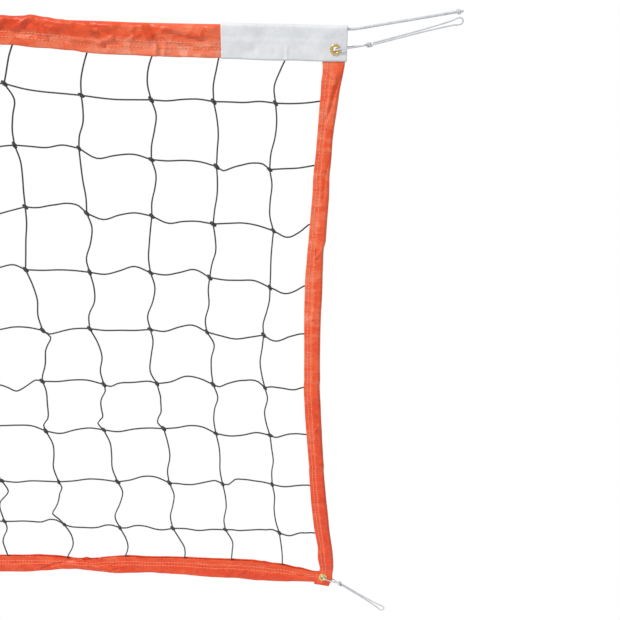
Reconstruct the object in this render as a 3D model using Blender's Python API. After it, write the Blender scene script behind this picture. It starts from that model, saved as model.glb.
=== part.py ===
"""A full-length volleyball net with taped edges, its headline cord and its four corner tie cords.

Metres, +Z up. X runs along the net, Y is its thin way, and the front of the net faces -Y.
The origin is on the headline cord's axis, midway along the net.
"""

import math

import bmesh
import bpy
from mathutils import Vector

MM = 0.001

# Net
LENGTH = 9.754  # 32 ft, between the outer edges of the two side tapes
HEIGHT = 1.000  # from the top edge down to the bottom corners
COLUMNS = 95  # upright twines
ROWS = 9  # level twines
END_MESH = 0.088  # from the outer edge of a side tape to the first upright twine
FIRST_ROW = 0.1035  # depth of the first level twine below the top edge
ROW_PITCH = 0.0975
TWINE = 2.4 * MM
BOW = 0.031  # how far the side tapes are drawn in at half height
BOW_POWER = 1.5
BOW_REACH = 0.40  # how far along the net the drawing-in dies away

# Tapes: folded widths, wall thickness and the half width of the slot inside each fold
WALL = 0.7 * MM
TOP_TAPE_WIDTH = 0.048
BOTTOM_TAPE_WIDTH = 0.037
SIDE_TAPE_WIDTH = 0.028
BOTTOM_EDGE = 0.993  # depth of the bottom tape's lower edge
THIN_SLOT = 1.5 * MM
TOP_SLOT = 2.6 * MM
PANEL_SLOT = 3.7 * MM
PANEL_LENGTH = 0.184
PANEL_WIDTH = 0.050
GAP = 0.3 * MM
BUTT_GAP = 1.0 * MM  # where the bottom tape's end meets a side tape
CORNER_CUT = 0.006  # the side tape's bottom corner is folded under at a slant
CORNER_RISE = 0.016  # how far above the corner the slant starts
SIDE_TOP = 0.012  # where the side tape starts, inside the top tape's end
SIDE_RINGS = 13

# Netting edges inside the folds
NET_TOP = 0.018
NET_BOTTOM = 0.978
NET_INSET = 0.012

# Grommets
HOLE_R = 3.9 * MM
BARREL_R = 4.5 * MM
FLANGE_R = 7.8 * MM
FLANGE_T = 0.8 * MM
CUT_R = 4.9 * MM
CUT_LENGTH = 0.04
ROLL = 0.3 * MM  # the rounding of a grommet's lips
SMOOTH_UNDER = math.radians(35)
TOP_GROMMET = (0.017, 0.032)  # in from the side edge, down from the top edge
BOTTOM_GROMMET = (0.015, 0.980)
GROMMET_SEGMENTS = 16

# Cords
HEADLINE_D = 4.0 * MM
TIE_D = 2.2 * MM
# The headline past the tape's end, as (out, up) in millimetres, and the stopper knot that it ends in
HEADLINE_LEAD = ((0.3, 0), (8, 0.2), (18, 1.6), (50, 7.4), (90, 14.7), (125, 21.1), (151.2, 25.9))
HEADLINE_KNOT = (158.0, 27.1)
HEADLINE_RISE = math.radians(10.3)
KNOT_SIZE = (13.0 * MM, 9.0 * MM, 8.5 * MM)
TIE_PLANE = 1.8 * MM  # from a grommet's face to the centre of the strand that passes over it
TIE_BEND = 4.4 * MM
THROUGH = 0.8 * MM  # how far off a grommet's centre the strand through it lies
STRAND_OFF = 1.25 * MM  # from a knot's centre line to each of its two strands
KNOT_GAP = 0.2 * MM  # how far a knot's strands reach into its rounded end
TIE_KNOT_SCALE = 0.95

# Each kind of tie cord: loop angle, distance to the knot, lead angle and lead length
TOP_TIE = (math.radians(8.5), 0.049, math.radians(15.5), 0.138)
BOTTOM_TIE = (math.radians(-24.0), 0.034, math.radians(-33.7), 0.102)

TOP_Z = TOP_SLOT + WALL
THIN_HALF = THIN_SLOT + WALL
PANEL_HALF = PANEL_SLOT + WALL
PITCH = (LENGTH - 2 * END_MESH) / (COLUMNS - 1)


def clear_scene():
    for obj in list(bpy.data.objects):
        bpy.data.objects.remove(obj, do_unlink=True)


def material(name, colour, roughness, metallic=0.0):
    mat = bpy.data.materials.new(name)
    mat.use_nodes = True
    shader = mat.node_tree.nodes["Principled BSDF"]
    shader.inputs["Base Color"].default_value = (*colour, 1.0)
    shader.inputs["Roughness"].default_value = roughness
    shader.inputs["Metallic"].default_value = metallic
    return mat


def new_object(name, mesh, mat, place=(0, 0, 0)):
    obj = bpy.data.objects.new(name, mesh)
    obj.location = place
    mesh.materials.append(mat)
    bpy.context.scene.collection.objects.link(obj)
    return obj


def mesh_from(name, points, faces):
    mesh = bpy.data.meshes.new(name)
    mesh.from_pydata([tuple(p) for p in points], [], faces)
    bm = bmesh.new()
    bm.from_mesh(mesh)
    bmesh.ops.recalc_face_normals(bm, faces=bm.faces)
    bm.to_mesh(mesh)
    bm.free()
    return mesh


def depth_z(depth):
    """Height of a point that lies this far below the top edge."""
    return TOP_Z - depth


def drawn_in(depth):
    """How far a side edge is drawn in towards the middle of the net at this depth."""
    share = min(max(depth / HEIGHT, 0.0), 1.0)
    return BOW * math.sin(math.pi * share) ** BOW_POWER


def net_x(flat_x, depth):
    """Where a point of the flat net lies once its ends are drawn in."""
    side = math.copysign(1.0, flat_x)
    from_end = LENGTH / 2 - abs(flat_x)
    return flat_x - side * drawn_in(depth) * math.exp(-((from_end / BOW_REACH) ** 2))


# Netting: one lattice of bars with a flat front and a ridge behind


class Lattice:
    """Collects the corners and faces of a net of wedge-shaped bars."""

    def __init__(self, twine):
        self.half = twine / 2
        self.points = []
        self.faces = []

    def knot(self, x, z):
        """Four front corners, then the ridge point behind them."""
        first = len(self.points)
        for dx, dz in ((-1, -1), (1, -1), (1, 1), (-1, 1)):
            self.points.append((x + dx * self.half, -self.half, z + dz * self.half))
        self.points.append((x, self.half, z))
        corners = [first + i for i in range(5)]
        self.faces.append(corners[:4])
        return corners

    def tip(self, x, z, along):
        """The closed end of a bar that runs along "x" or "z": two front corners and the ridge."""
        first = len(self.points)
        for sign in (-1, 1):
            dx, dz = (0, sign) if along == "x" else (sign, 0)
            self.points.append((x + dx * self.half, -self.half, z + dz * self.half))
        self.points.append((x, self.half, z))
        self.faces.append([first, first + 1, first + 2])
        return [first, first + 1, first + 2]

    def bar(self, a, b):
        """Joins two ends, each given as its low corner, its high corner and its ridge point."""
        self.faces.append([a[0], a[1], b[1], b[0]])
        self.faces.append([a[0], b[0], b[2], a[2]])
        self.faces.append([a[1], a[2], b[2], b[1]])


def netting(mat):
    net = Lattice(TWINE)
    depths = [FIRST_ROW + ROW_PITCH * row for row in range(ROWS)]
    flat = [-LENGTH / 2 + END_MESH + PITCH * column for column in range(COLUMNS)]
    knots = [[net.knot(net_x(x, d), depth_z(d)) for x in flat] for d in depths]
    for row, depth in zip(knots, depths):
        edge = LENGTH / 2 - drawn_in(depth) - NET_INSET
        first, last = net.tip(-edge, depth_z(depth), "x"), net.tip(edge, depth_z(depth), "x")
        lefts = [(k[0], k[3], k[4]) for k in row]
        rights = [(k[1], k[2], k[4]) for k in row]
        for a, b in zip([first] + rights, lefts + [last]):
            net.bar(a, b)
    for column, x in enumerate(flat):
        upper = net.tip(net_x(x, NET_TOP), depth_z(NET_TOP), "z")
        lower = net.tip(net_x(x, NET_BOTTOM), depth_z(NET_BOTTOM), "z")
        tops = [(row[column][3], row[column][2], row[column][4]) for row in knots]
        bottoms = [(row[column][0], row[column][1], row[column][4]) for row in knots]
        for a, b in zip([upper] + bottoms, tops + [lower]):
            net.bar(a, b)
    return new_object("netting", mesh_from("netting", net.points, net.faces), mat)


# Tapes and panels: folded strips, open along one edge


def fold_section(width, slot):
    """A fold's outline as (distance in from its closed edge, Y)."""
    out = slot + WALL
    return [
        (WALL, -out),
        (width, -out),
        (width, -slot),
        (WALL, -slot),
        (WALL, slot),
        (width, slot),
        (width, out),
        (WALL, out),
        (0.0, out - WALL),
        (0.0, WALL - out),
    ]


def swept(name, rings):
    """Joins equal rings of points into one closed strip."""
    count = len(rings[0])
    points = [p for ring in rings for p in ring]
    faces = []
    for r in range(len(rings) - 1):
        for i in range(count):
            j = (i + 1) % count
            faces.append([r * count + i, r * count + j, (r + 1) * count + j, (r + 1) * count + i])
    last = (len(rings) - 1) * count
    faces.append(list(range(count)))
    faces.append([last + i for i in reversed(range(count))])
    return mesh_from(name, points, faces)


def level_fold(name, mat, x0, x1, width, slot, top_z, opens):
    """A straight fold along X. It opens downwards (-1) or upwards (+1) from its closed edge."""
    section = fold_section(width, slot)
    rings = [[(x, y, top_z + opens * inward) for inward, y in section] for x in (x0, x1)]
    return new_object(name, swept(name, rings), mat)


def side_fold(name, mat, side):
    """The bowed fold down one end of the net, open towards the netting."""
    section = fold_section(SIDE_TAPE_WIDTH, THIN_SLOT)
    slant = HEIGHT - CORNER_RISE
    depths = [SIDE_TOP + (slant - SIDE_TOP) * i / (SIDE_RINGS - 1) for i in range(SIDE_RINGS)]
    places = [(d, 0.0) for d in depths] + [(HEIGHT, CORNER_CUT)]
    rings = []
    for depth, cut in places:
        edge = LENGTH / 2 - drawn_in(depth)
        ring = [
            (side * (edge - max(inward, cut + min(inward / 2, WALL))), y, depth_z(depth))
            for inward, y in section
        ]
        rings.append(ring)
    return new_object(name, swept(name, rings), mat)


# Grommets


def turned(name, profile, mat, place):
    """Turns a closed (radius, Y) outline about the Y axis."""
    points, faces = [], []
    count = len(profile)
    for s in range(GROMMET_SEGMENTS):
        angle = 2 * math.pi * s / GROMMET_SEGMENTS
        points += [(r * math.cos(angle), y, r * math.sin(angle)) for r, y in profile]
    for s in range(GROMMET_SEGMENTS):
        t = (s + 1) % GROMMET_SEGMENTS
        for i in range(count):
            j = (i + 1) % count
            faces.append([s * count + i, s * count + j, t * count + j, t * count + i])
    mesh = mesh_from(name, points, faces)
    mesh.shade_smooth()
    mesh.set_sharp_from_angle(angle=SMOOTH_UNDER)
    return new_object(name, mesh, mat, place)


def grommet(name, mat, place, half):
    """An eyelet with its barrel, from the front, and the washer that it is rolled over behind."""
    near = half + GAP
    face = near + FLANGE_T
    eyelet = [
        (HOLE_R, face),
        (HOLE_R, ROLL - face),
        (HOLE_R + ROLL, -face),
        (FLANGE_R - 3 * ROLL, -face),
        (FLANGE_R, -near - ROLL),
        (FLANGE_R, -near),
        (BARREL_R, -near),
        (BARREL_R, face),
    ]
    washer = [
        (BARREL_R + GAP, near),
        (FLANGE_R, near),
        (FLANGE_R, near + ROLL),
        (FLANGE_R - 2 * ROLL, face),
        (BARREL_R + GAP, face),
    ]
    turned(f"grommet_eyelet_{name}", eyelet, mat, place)
    turned(f"grommet_washer_{name}", washer, mat, place)


def grommet_cutter(places):
    """One hidden cutter with a pin at each grommet."""
    bm = bmesh.new()
    for place in places:
        made = bmesh.ops.create_cone(
            bm, cap_ends=True, segments=GROMMET_SEGMENTS, radius1=CUT_R, radius2=CUT_R, depth=CUT_LENGTH
        )
        for vert in made["verts"]:
            x, y, z = vert.co
            vert.co = Vector((x, -z, y)) + Vector(place)
    bm.normal_update()
    bmesh.ops.recalc_face_normals(bm, faces=bm.faces)
    mesh = bpy.data.meshes.new("grommet_cutter")
    bm.to_mesh(mesh)
    bm.free()
    cutter = bpy.data.objects.new("grommet_cutter", mesh)
    bpy.context.scene.collection.objects.link(cutter)
    cutter.hide_render = True
    cutter.display_type = "WIRE"
    return cutter


def cut_holes(obj, cutter):
    cut = obj.modifiers.new("grommet_holes", "BOOLEAN")
    cut.operation = "DIFFERENCE"
    cut.solver = "EXACT"
    cut.object = cutter


# Cords


def smooth_route(route, spacing):
    """Points about this far apart on a smooth curve through the route's own points."""
    pts = [Vector(p) for p in route]
    pts = [2 * pts[0] - pts[1]] + pts + [2 * pts[-1] - pts[-2]]
    out = []
    for p0, p1, p2, p3 in zip(pts, pts[1:], pts[2:], pts[3:]):
        steps = max(1, round((p2 - p1).length / spacing))
        pull = (p2 - p1).length
        start = (p2 - p0).normalized() * pull
        end = (p3 - p1).normalized() * pull
        for i in range(steps):
            t = i / steps
            out.append(
                p1 * (2 * t**3 - 3 * t**2 + 1)
                + start * (t**3 - 2 * t**2 + t)
                + p2 * (3 * t**2 - 2 * t**3)
                + end * (t**3 - t**2)
            )
    return out + [pts[-2]]


def tube(name, points, diameter, mat):
    curve = bpy.data.curves.new(name, "CURVE")
    curve.dimensions = "3D"
    curve.bevel_depth = diameter / 2
    curve.bevel_resolution = 2
    curve.use_fill_caps = True
    spline = curve.splines.new("POLY")
    spline.points.add(len(points) - 1)
    for slot, p in zip(spline.points, points):
        slot.co = (*p, 1.0)
    curve.materials.append(mat)
    obj = bpy.data.objects.new(name, curve)
    bpy.context.scene.collection.objects.link(obj)
    return obj


def knot(name, centre, angle, side, mat, scale=1.0):
    """A tight knot as a plain rounded lump, its long way along the cord."""
    bm = bmesh.new()
    bmesh.ops.create_uvsphere(bm, u_segments=10, v_segments=6, radius=0.5)
    along = Vector((side * math.cos(angle), 0, math.sin(angle)))
    up = Vector((-side * math.sin(angle), 0, math.cos(angle)))
    long_way, wide, thick = (scale * size for size in KNOT_SIZE)
    for vert in bm.verts:
        x, y, z = vert.co
        vert.co = along * (z * long_way) + Vector((0, y * thick, 0)) + up * (x * wide)
    bm.normal_update()
    bmesh.ops.recalc_face_normals(bm, faces=bm.faces)
    mesh = bpy.data.meshes.new(name)
    bm.to_mesh(mesh)
    bm.free()
    mesh.shade_smooth()
    return new_object(name, mesh, mat, centre)


def headline_end(name, side, mat):
    """The length of headline past the tape, with the stopper knot that it ends in."""

    def place(out, up):
        return Vector((side * (LENGTH / 2 + out * MM), 0, up * MM))

    lead = [place(out, up) for out, up in HEADLINE_LEAD]
    tube(f"headline_lead_{name}", smooth_route(lead, 3 * HEADLINE_D), HEADLINE_D, mat)
    knot(f"headline_knot_{name}", place(*HEADLINE_KNOT), HEADLINE_RISE, side, mat)


def tie_loop_route(reach, plane):
    """The loop through a grommet as (out from the grommet, Y), knot to knot."""
    centre = TIE_BEND + THROUGH
    slant = TIE_BEND * math.sqrt(0.5)
    knot_half = KNOT_SIZE[0] / 2
    half = [
        (THROUGH, plane - TIE_BEND),
        (centre - slant, plane - TIE_BEND + slant),
        (centre, plane),
        (0.5 * centre + 0.25 * reach, plane),
        (0.54 * reach, 0.86 * plane),
        (0.74 * reach, 0.45 * plane + 0.1 * MM),
        (reach - knot_half + KNOT_GAP, STRAND_OFF),
    ]
    return [(s, -y) for s, y in reversed(half)] + [(THROUGH, 0.0)] + half


def tie_lead_route(length):
    """Both strands from the knot and the bight that joins them, as (out from the knot, across)."""
    half = [
        (KNOT_SIZE[0] / 2 - KNOT_GAP, STRAND_OFF),
        (0.3 * length, 1.35 * MM),
        (0.6 * length, 1.7 * MM),
        (length - 15 * MM, 3.2 * MM),
        (length - 6 * MM, 4.7 * MM),
        (length - 1.5 * MM, 3.5 * MM),
    ]
    return half + [(length, 0.0)] + [(s, -n) for s, n in reversed(half)]


def tie_cord(name, kind, grommet_place, half, side, mat):
    """A thin cord looped through a corner grommet, knotted, with both ends led off."""
    loop_angle, reach, lead_angle, length = kind
    at = Vector(grommet_place)
    out = Vector((side * math.cos(loop_angle), 0, math.sin(loop_angle)))
    plane = half + GAP + FLANGE_T + TIE_PLANE
    loop = [at + out * s + Vector((0, y, 0)) for s, y in tie_loop_route(reach, plane)]
    centre = at + out * reach
    run = Vector((side * math.cos(lead_angle), 0, math.sin(lead_angle)))
    across = Vector((-side * math.sin(lead_angle), 0, math.cos(lead_angle)))
    lead = [centre + run * s + across * n for s, n in tie_lead_route(length)]
    knot_angle = 0.5 * (loop_angle + lead_angle)
    pivot = bpy.data.objects.new(f"pivot_{name}", None)
    pivot.location = grommet_place
    bpy.context.scene.collection.objects.link(pivot)
    pieces = [
        tube(f"tie_loop_{name}", smooth_route([p - at for p in loop], 3 * TIE_D), TIE_D, mat),
        knot(f"tie_knot_{name}", centre - at, knot_angle, side, mat, TIE_KNOT_SCALE),
        tube(f"tie_lead_{name}", smooth_route([p - at for p in lead], 4.5 * TIE_D), TIE_D, mat),
    ]
    for piece in pieces:
        piece.parent = pivot


def main():
    clear_scene()
    orange = material("orange_vinyl", (0.84, 0.10, 0.03), 0.42)
    white = material("white_vinyl", (0.72, 0.74, 0.76), 0.45)
    black = material("black_twine", (0.03, 0.03, 0.03), 0.8)
    cotton = material("white_cord", (0.75, 0.77, 0.80), 0.7)
    brass = material("brass", (0.72, 0.52, 0.22), 0.3, 1.0)

    netting(black)
    end = LENGTH / 2
    top = level_fold("top_tape", orange, -end, end, TOP_TAPE_WIDTH, TOP_SLOT, TOP_Z, -1)
    inner_end = end - SIDE_TAPE_WIDTH - drawn_in(BOTTOM_EDGE - BOTTOM_TAPE_WIDTH) - BUTT_GAP
    low = depth_z(BOTTOM_EDGE)
    level_fold("bottom_tape", orange, -inner_end, inner_end, BOTTOM_TAPE_WIDTH, THIN_SLOT, low, 1)

    places = {}
    for name, side in (("left", -1), ("right", 1)):
        for level, (inward, depth) in (("top", TOP_GROMMET), ("bottom", BOTTOM_GROMMET)):
            places[level, name] = (side * (end - inward), 0, depth_z(depth))
    cutter = grommet_cutter(places.values())
    cut_holes(top, cutter)

    for name, side in (("left", -1), ("right", 1)):
        cut_holes(side_fold(f"side_tape_{name}", orange, side), cutter)
        x0, x1 = sorted((side * end, side * (end - PANEL_LENGTH)))
        panel_top = TOP_Z + GAP + WALL
        panel = level_fold(
            f"header_panel_{name}", white, x0, x1, PANEL_WIDTH, PANEL_SLOT, panel_top, -1
        )
        cut_holes(panel, cutter)
        grommet(f"top_{name}", brass, places["top", name], PANEL_HALF)
        grommet(f"bottom_{name}", brass, places["bottom", name], THIN_HALF)
        headline_end(name, side, cotton)
        tie_cord(f"top_{name}", TOP_TIE, places["top", name], PANEL_HALF, side, cotton)
        tie_cord(f"bottom_{name}", BOTTOM_TIE, places["bottom", name], THIN_HALF, side, cotton)

    tube("headline", [Vector((-end, 0, 0)), Vector((0, 0, 0)), Vector((end, 0, 0))], HEADLINE_D, cotton)


main()
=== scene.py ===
"""The looks of a full-length volleyball net, its taped edges, grommets and cords.

Metres, +Z up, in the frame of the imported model: X runs along the net and its front faces -Y.
"""

import math
import random

import bmesh
import bpy
import numpy as np
from mathutils import Matrix, Vector, noise


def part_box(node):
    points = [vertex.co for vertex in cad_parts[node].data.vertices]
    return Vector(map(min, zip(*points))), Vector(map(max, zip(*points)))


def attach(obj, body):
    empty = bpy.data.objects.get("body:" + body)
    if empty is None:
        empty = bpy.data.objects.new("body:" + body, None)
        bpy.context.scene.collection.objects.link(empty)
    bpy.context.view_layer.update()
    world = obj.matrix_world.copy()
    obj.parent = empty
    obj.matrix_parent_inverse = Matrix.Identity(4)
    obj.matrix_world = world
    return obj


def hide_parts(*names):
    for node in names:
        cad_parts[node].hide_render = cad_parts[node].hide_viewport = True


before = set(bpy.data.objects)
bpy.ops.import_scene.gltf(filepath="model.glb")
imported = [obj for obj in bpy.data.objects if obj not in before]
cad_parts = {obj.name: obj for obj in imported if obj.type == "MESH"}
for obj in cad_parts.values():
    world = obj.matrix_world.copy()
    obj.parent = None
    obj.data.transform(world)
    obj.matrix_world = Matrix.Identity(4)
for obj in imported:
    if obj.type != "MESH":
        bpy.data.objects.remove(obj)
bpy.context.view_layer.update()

MM = 0.001
SIDES = {"left": -1, "right": 1}

# Driving places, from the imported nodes
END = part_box("top_tape")[1].x
TOP_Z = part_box("top_tape")[1].z
HEIGHT = TOP_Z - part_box("side_tape_right")[0].z
TOP_WIDTH = TOP_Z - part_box("top_tape")[0].z
BOTTOM_LOW, BOTTOM_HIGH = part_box("bottom_tape")[0].z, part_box("bottom_tape")[1].z
BOTTOM_WIDTH = BOTTOM_HIGH - BOTTOM_LOW
BOTTOM_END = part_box("bottom_tape")[1].x
PANEL_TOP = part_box("header_panel_right")[1].z
PANEL_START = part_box("header_panel_right")[0].x
PANEL_WIDTH = PANEL_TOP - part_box("header_panel_right")[0].z
PANEL_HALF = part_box("header_panel_right")[1].y
THIN_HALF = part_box("side_tape_right")[1].y

# The netting's layout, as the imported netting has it: depths are below the top edge
COLUMNS = 95
ROWS = 9
END_MESH = 0.088
FIRST_ROW = 0.1035
ROW_PITCH = 0.0975
PITCH = 2 * (END - END_MESH) / (COLUMNS - 1)
NET_TOP = 0.018
NET_BOTTOM = 0.978
NET_INSET = 0.012
SIDE_TAPE_WIDTH = 0.028

# How the side edges are drawn in
BOW = 0.031
BOW_POWER = 1.5
BOW_REACH = 0.40


def ridge(off, width):
    """A soft ridge: 1 on its line, and close to 0 past twice its width."""
    return math.exp(-((off / width) ** 2))


def depth_z(depth):
    """Height of a point that lies this far below the top edge."""
    return TOP_Z - depth


def drawn_in(depth):
    """How far a side edge is drawn in towards the middle of the net at this depth."""
    share = min(max(depth / HEIGHT, 0.0), 1.0)
    return BOW * math.sin(math.pi * share) ** BOW_POWER


def net_x(flat_x, depth):
    """Where a point of the flat net lies once its ends are drawn in."""
    from_end = END - abs(flat_x)
    return flat_x - math.copysign(drawn_in(depth), flat_x) * ridge(from_end, BOW_REACH)


def eased(line, at):
    """Reads a drawn line of (place, value) points, eased between them."""
    if at <= line[0][0]:
        return line[0][1]
    for (p0, v0), (p1, v1) in zip(line, line[1:]):
        if at <= p1:
            t = (at - p0) / (p1 - p0)
            return v0 + (v1 - v0) * t * t * (3 - 2 * t)
    return line[-1][1]


def step_up(value, low, high):
    """0 below low, 1 above high, eased between."""
    t = min(max((value - low) / (high - low), 0.0), 1.0)
    return t * t * (3 - 2 * t)


def wander(at, size, seed):
    """A smooth random value between about -1 and 1 that changes over this length."""
    return 1.6 * noise.noise(Vector((at / size, seed * 3.7, seed)))


# Meshes


class Shape:
    """Collects rings of points into one mesh. UVs are metres along and a share across."""

    def __init__(self):
        self.points = []
        self.faces = []
        self.uvs = []
        self.count = 0

    def rings(self, rings, along, across, caps="fan"):
        """Skins these rings. The ends are closed by a fan, or by a band for a folded strip."""
        rings = np.asarray(rings, float)
        rows, cols = rings.shape[:2]
        index = self.count + np.arange(rows * cols).reshape(rows, cols)
        after = np.roll(index, -1, axis=1)
        quads = np.stack([index[:-1], after[:-1], after[1:], index[1:]], axis=-1)
        self.faces += quads.reshape(-1, 4).tolist()
        u, v = np.meshgrid(along, across, indexing="ij")
        corner = np.stack([u, v], axis=-1)
        uvs = np.stack([corner[:-1, :-1], corner[:-1, 1:], corner[1:, 1:], corner[1:, :-1]], axis=2)
        self.uvs.append(uvs.reshape(-1, 2))
        self.points.append(rings.reshape(-1, 3))
        self.count += rows * cols
        first, last = index[0].tolist(), index[-1].tolist()
        if caps == "fan":
            self.cap([first[::-1], last], along, across)
        if caps == "band":
            self.cap(self.band(first, False) + self.band(last, True), along, across)

    def band(self, ring, far):
        """The cut edge of a folded strip, between the outer and the inner half of its ring."""
        pairs = list(zip(ring, ring[::-1]))[: len(ring) // 2]
        if far:
            return [[a, b, c, d] for (a, d), (b, c) in zip(pairs, pairs[1:])]
        return [[b, a, d, c] for (a, d), (b, c) in zip(pairs, pairs[1:])]

    def cap(self, faces, along, across):
        self.faces += faces
        corners = sum(len(face) for face in faces)
        self.uvs.append(np.full((corners, 2), (along[0], across[0])))

    def tube(self, line, radius, sides):
        """A round tube along a line that never runs along Y. radius may change along it."""
        line = np.asarray(line, float)
        run = np.gradient(line, axis=0)
        run /= np.linalg.norm(run, axis=1)[:, None]
        first = np.array([0.0, 1.0, 0.0]) - run * run[:, 1:2]
        first /= np.linalg.norm(first, axis=1)[:, None]
        second = np.cross(run, first)
        turn = 2 * math.pi * np.arange(sides) / sides
        radius = np.broadcast_to(np.asarray(radius, float), (len(line),))
        rings = line[:, None] + radius[:, None, None] * (
            first[:, None] * np.cos(turn)[:, None] + second[:, None] * np.sin(turn)[:, None]
        )
        length = np.concatenate([[0.0], np.cumsum(np.linalg.norm(np.diff(line, axis=0), axis=1))])
        self.rings(rings, length, np.linspace(0, 1, sides + 1))

    def mesh(self, name):
        mesh = bpy.data.meshes.new(name)
        mesh.from_pydata(np.concatenate(self.points).tolist(), [], self.faces)
        uv = mesh.uv_layers.new(name="UVMap")
        uv.data.foreach_set("uv", np.concatenate(self.uvs).ravel())
        mesh.shade_smooth()
        return mesh


def piece(name, mesh, mat, body, slot, *nodes):
    """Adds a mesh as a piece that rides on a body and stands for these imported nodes."""
    obj = bpy.data.objects.new(name, mesh)
    mesh.materials.append(mat)
    bpy.context.scene.collection.objects.link(obj)
    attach(obj, body)
    if nodes:
        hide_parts(*nodes)
    return obj


# Materials


# How far the facets of crumpled cloth are bent, in metres
FACET_WARP = 0.02


class Nodes:
    """A short way to write node materials."""

    def __init__(self, name):
        self.material = bpy.data.materials.new(name)
        self.material.use_nodes = True
        self.tree = self.material.node_tree
        self.shader = self.tree.nodes["Principled BSDF"]

    def add(self, kind, **values):
        """A new node. in_Name sets its input Name, and any other name sets its own setting."""
        node = self.tree.nodes.new(kind)
        for key, value in values.items():
            if key.startswith("in_"):
                node.inputs[key[3:].replace("_", " ")].default_value = value
            else:
                setattr(node, key, value)
        return node

    def link(self, out, into):
        self.tree.links.new(out, into)

    def maths(self, operation, a, b=0.0, c=0.0):
        """One sum. Each of its values is a number or another node's output."""
        node = self.add("ShaderNodeMath", operation=operation)
        for value, socket in zip((a, b, c), node.inputs):
            if isinstance(value, (int, float)):
                socket.default_value = value
            else:
                self.link(value, socket)
        return node.outputs[0]

    def place(self):
        """Where a point is on the piece at rest, in metres."""
        return self.add("ShaderNodeTexCoord").outputs["Object"]

    def uv(self):
        """Metres along the piece, and the share across or round it."""
        split = self.add("ShaderNodeSeparateXYZ")
        self.link(self.add("ShaderNodeTexCoord").outputs["UV"], split.inputs[0])
        return split.outputs[0], split.outputs[1]

    def noise(self, scale, detail=3.0, rough=0.5, distortion=0.0, stretch=None):
        """Noise that is fixed to the piece, and may be stretched along each axis."""
        node = self.add("ShaderNodeTexNoise", in_Scale=scale, in_Detail=detail)
        node.inputs["Roughness"].default_value = rough
        node.inputs["Distortion"].default_value = distortion
        place = self.place()
        if stretch:
            place = self.stretched(place, stretch)
        self.link(place, node.inputs["Vector"])
        return node.outputs[0]

    def stretched(self, place, stretch):
        scaled = self.add("ShaderNodeMapping", in_Scale=stretch)
        self.link(place, scaled.inputs["Vector"])
        return scaled.outputs[0]

    def along(self, axis, fade):
        """A level that rises from 0 to 1 between two places, either side of the middle."""
        split = self.add("ShaderNodeSeparateXYZ")
        self.link(self.place(), split.inputs[0])
        span = self.add("ShaderNodeMapRange", in_From_Min=fade[0], in_From_Max=fade[1])
        self.link(self.maths("ABSOLUTE", split.outputs[axis]), span.inputs["Value"])
        return span.outputs[0]

    def facets(self, scale, stretch):
        """The height of the flat facets of crumpled cloth, and a tone for each facet that is painted shade
        and sheen.
        """
        warp = self.add("ShaderNodeVectorMath", operation="MULTIPLY_ADD")
        bend = self.add("ShaderNodeTexNoise", in_Scale=40.0, in_Detail=2.0)
        self.link(self.place(), bend.inputs["Vector"])
        self.link(bend.outputs[1], warp.inputs[0])
        warp.inputs[1].default_value = (FACET_WARP,) * 3
        self.link(self.place(), warp.inputs[2])
        cells = self.add("ShaderNodeTexVoronoi", distance="MANHATTAN", in_Scale=scale)
        self.link(self.stretched(warp.outputs[0], stretch), cells.inputs["Vector"])
        split = self.add("ShaderNodeSeparateColor")
        self.link(cells.outputs["Color"], split.inputs[0])
        return split.outputs[0], cells.outputs["Distance"]

    def ramp(self, factor, *stops):
        """Colours or levels at these places, as (place, colour) or (place, level)."""
        node = self.add("ShaderNodeValToRGB")
        elements = node.color_ramp.elements
        while len(elements) < len(stops):
            elements.new(0.5)
        for element, (at, value) in zip(elements, stops):
            element.position = at
            element.color = (*value, 1.0) if isinstance(value, tuple) else (value,) * 3 + (1.0,)
        self.link(factor, node.inputs[0])
        return node.outputs[0]

    def bump(self, height, strength, distance):
        node = self.add("ShaderNodeBump", in_Strength=strength, in_Distance=distance)
        self.link(height, node.inputs["Height"])
        self.link(node.outputs[0], self.shader.inputs["Normal"])

    def colour(self, out):
        self.link(out, self.shader.inputs["Base Color"])

    def rough(self, factor, low, high):
        span = self.add("ShaderNodeMapRange", in_To_Min=low, in_To_Max=high)
        self.link(factor, span.inputs["Value"])
        self.link(span.outputs[0], self.shader.inputs["Roughness"])

    def set(self, **values):
        """Sets the shader's own even values."""
        for key, value in values.items():
            self.shader.inputs[key.replace("_", " ")].default_value = value


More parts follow.
